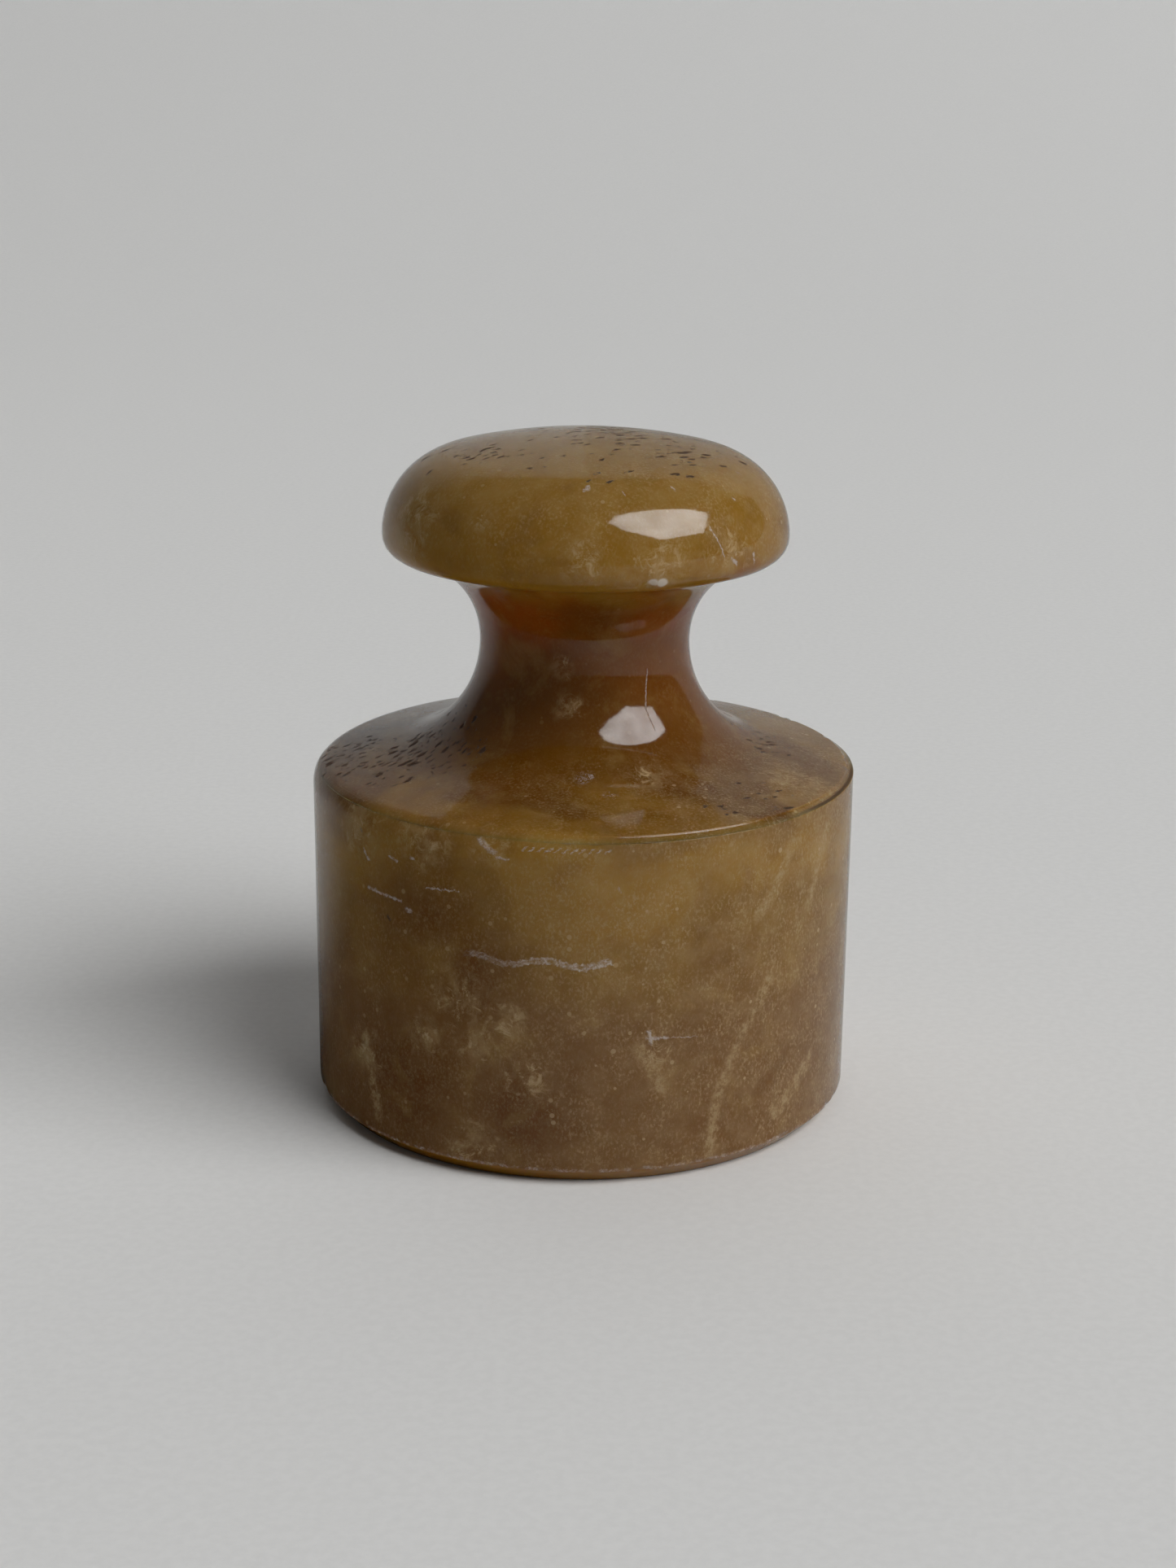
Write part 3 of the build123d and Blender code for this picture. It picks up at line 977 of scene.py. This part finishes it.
def sweep_profile():
    """The floor's section from front to back: a level run, a quarter circle, and a wall, as (y, z) rows."""
    turn = np.linspace(0, pi / 2, 24)
    curve = np.stack([FLOOR_BACK + SWEEP_RADIUS * np.sin(turn), SWEEP_RADIUS * (1 - np.cos(turn))], axis=-1)
    return np.vstack([[FLOOR_FRONT, 0.0], curve, [FLOOR_BACK + SWEEP_RADIUS, WALL_HEIGHT]])


profile = sweep_profile()
left = np.column_stack([np.full(len(profile), -FLOOR_HALF_WIDTH), profile])
right = np.column_stack([np.full(len(profile), FLOOR_HALF_WIDTH), profile])
count = len(profile)
strips = [[i, count + i, count + i + 1, i + 1] for i in range(count - 1)]
sweep = bpy.data.meshes.new("floor_sweep")
sweep.from_pydata(np.vstack([left, right]).tolist(), [], strips)
sweep.shade_smooth()
floor = new_object("floor_sweep", sweep)
paper = bpy.data.materials.new("pale_paper")
paper.use_nodes = True
tree = paper.node_tree
paper_shader = tree.nodes["Principled BSDF"]
spread = vectors(tree, "SCALE", add(tree, "TexCoord").outputs["Object"], scale=1 / MM)
tooth = noise(tree, spread, 0.7, 3, 0.6)
tone = blend_colour(tree, soft_step(tree, tooth, 0.3, 0.7), (0.80, 0.80, 0.79, 1), (0.83, 0.83, 0.82, 1))
mirrored = add(tree, "LightPath").outputs["Is Glossy Ray"]
floor_round = use(tree, round_group, {"Position": add(tree, "TexCoord").outputs["Object"]})
bearing = maths(tree, "DIVIDE", floor_round.outputs["Around"], arc(1))
distance = floor_round.outputs["Radius"]
narrowed = maths(tree, "SUBTRACT", bearing, soft_step(tree, distance, 120.0, 350.0, 0.0, 25.0))
seen_in_front = soft_step(tree, narrowed, -60.0, 25.0, PAPER_DIM, PAPER_BRIGHT)
far_right = product(tree, soft_step(tree, distance, 400.0, 1000.0), soft_step(tree, bearing, 0.0, 1.0))
seen_behind = maths(tree, "MULTIPLY_ADD", far_right, PAPER_FAR_RIGHT - PAPER_BEHIND, PAPER_BEHIND)
behind = soft_step(tree, maths(tree, "ABSOLUTE", bearing), 95.0, 130.0)
difference = maths(tree, "SUBTRACT", seen_behind, seen_in_front)
seen = maths(tree, "MULTIPLY_ADD", behind, difference, seen_in_front)
dimmed = blend_colour(tree, product(tree, mirrored, maths(tree, "SUBTRACT", 1.0, seen)), tone, (0, 0, 0, 1))
tree.links.new(dimmed, paper_shader.inputs["Base Color"])
paper_shader.inputs["Roughness"].default_value = 0.9
paper_shader.inputs["Specular IOR Level"].default_value = 0.1
sweep.materials.append(paper)

# %% Window and fill
# Each corner is (angle to the right of the front, angle up), in degrees
WINDOW_CORNERS = ((18, 54), (29, 62), (46, 64), (68, 61), (87, 51), (92, 40), (74, 25), (45, 27), (27, 42))
WINDOW_DISTANCE, WINDOW_STRENGTH = 8.0, 5.5
FILL_STRENGTH = 0.34


def direction(azimuth, elevation):
    """The unit vector towards an angle right of the front and an angle above the floor, in degrees."""
    az, el = radians(azimuth), radians(elevation)
    return Vector((cos(el) * sin(az), -cos(el) * cos(az), sin(el)))


middle = sum((direction(*corner) for corner in WINDOW_CORNERS), Vector()).normalized()
corners = [direction(*corner) for corner in WINDOW_CORNERS]
corners = [corner * (WINDOW_DISTANCE / corner.dot(middle)) for corner in corners]
pane = bpy.data.meshes.new("window_pane")
pane.from_pydata([tuple(corner) for corner in corners], [], [list(range(len(corners)))])
window = new_object("window_pane", pane)
daylight = bpy.data.materials.new("daylight")
daylight.use_nodes = True
tree = daylight.node_tree
tree.nodes.remove(tree.nodes["Principled BSDF"])
curtain = noise(tree, add(tree, "TexCoord").outputs["Object"], 0.35, 5, 0.65)
veiled = soft_step(tree, curtain, 0.3, 0.7, 0.72 * WINDOW_STRENGTH, 1.24 * WINDOW_STRENGTH)
glow = add(tree, "Emission", None, {"Color": (1, 1, 1, 1), "Strength": veiled})
tree.links.new(glow.outputs[0], tree.nodes["Material Output"].inputs["Surface"])
pane.materials.append(daylight)


def area_light(name, azimuth, elevation, distance, size, radiance):
    """A square light that faces the stones. Its power is radiance x pi x area, so its brightness as seen is fixed."""
    towards = direction(azimuth, elevation)
    lamp = bpy.data.lights.new(name, "AREA")
    lamp.shape = "SQUARE"
    lamp.size = size
    lamp.energy = radiance * pi * size**2
    holder = new_object(name, lamp)
    holder.location = towards * distance
    holder.rotation_mode = "QUATERNION"
    holder.rotation_quaternion = towards.to_track_quat("Z", "Y")
    holder.visible_glossy = False


area_light("sky_fill", -160, 62, 6.0, 5.0, FILL_STRENGTH)
print("the window has", len(WINDOW_CORNERS), "corners, and its middle is at", [round(part, 2) for part in middle])
world = bpy.data.worlds.new("dim_room")
world.use_nodes = True
room = world.node_tree
looking = add(room, "LightPath").outputs["Is Camera Ray"]
room_tone = blend_colour(room, looking, (0.06, 0.06, 0.06, 1), (0.50, 0.50, 0.49, 1))
room.links.new(room_tone, room.nodes["Background"].inputs["Color"])
bpy.context.scene.world = world
bpy.context.scene.view_settings.view_transform = "Standard"

# %% Camera
CAMERA_BACK, CAMERA_HEIGHT = 9.2916 * BODY_RADIUS, 3.9829 * BODY_RADIUS
CAMERA_TILT, CAMERA_TURN, CAMERA_ROLL = 0.2942, -0.0019, 0.0101
LENS = 3200 / 1927 * 36


def make_camera():
    """A camera that looks along +Y, tilted down, turned about Z and rolled about its own axis."""
    data = bpy.data.cameras.new("camera")
    data.lens = LENS
    data.sensor_width = 36
    data.clip_start = 0.01
    data.clip_end = 50
    camera = new_object("camera", data)
    turn = Matrix.Rotation(CAMERA_TURN, 4, "Z")
    tilt = Matrix.Rotation(pi / 2 - CAMERA_TILT, 4, "X")
    roll = Matrix.Rotation(CAMERA_ROLL, 4, "Z")
    camera.matrix_world = Matrix.Translation((0, -CAMERA_BACK, CAMERA_HEIGHT)) @ turn @ tilt @ roll
    bpy.context.scene.camera = camera


make_camera()
print("the camera stands", round(CAMERA_BACK / MM), "mm in front and", round(CAMERA_HEIGHT / MM), "mm up")
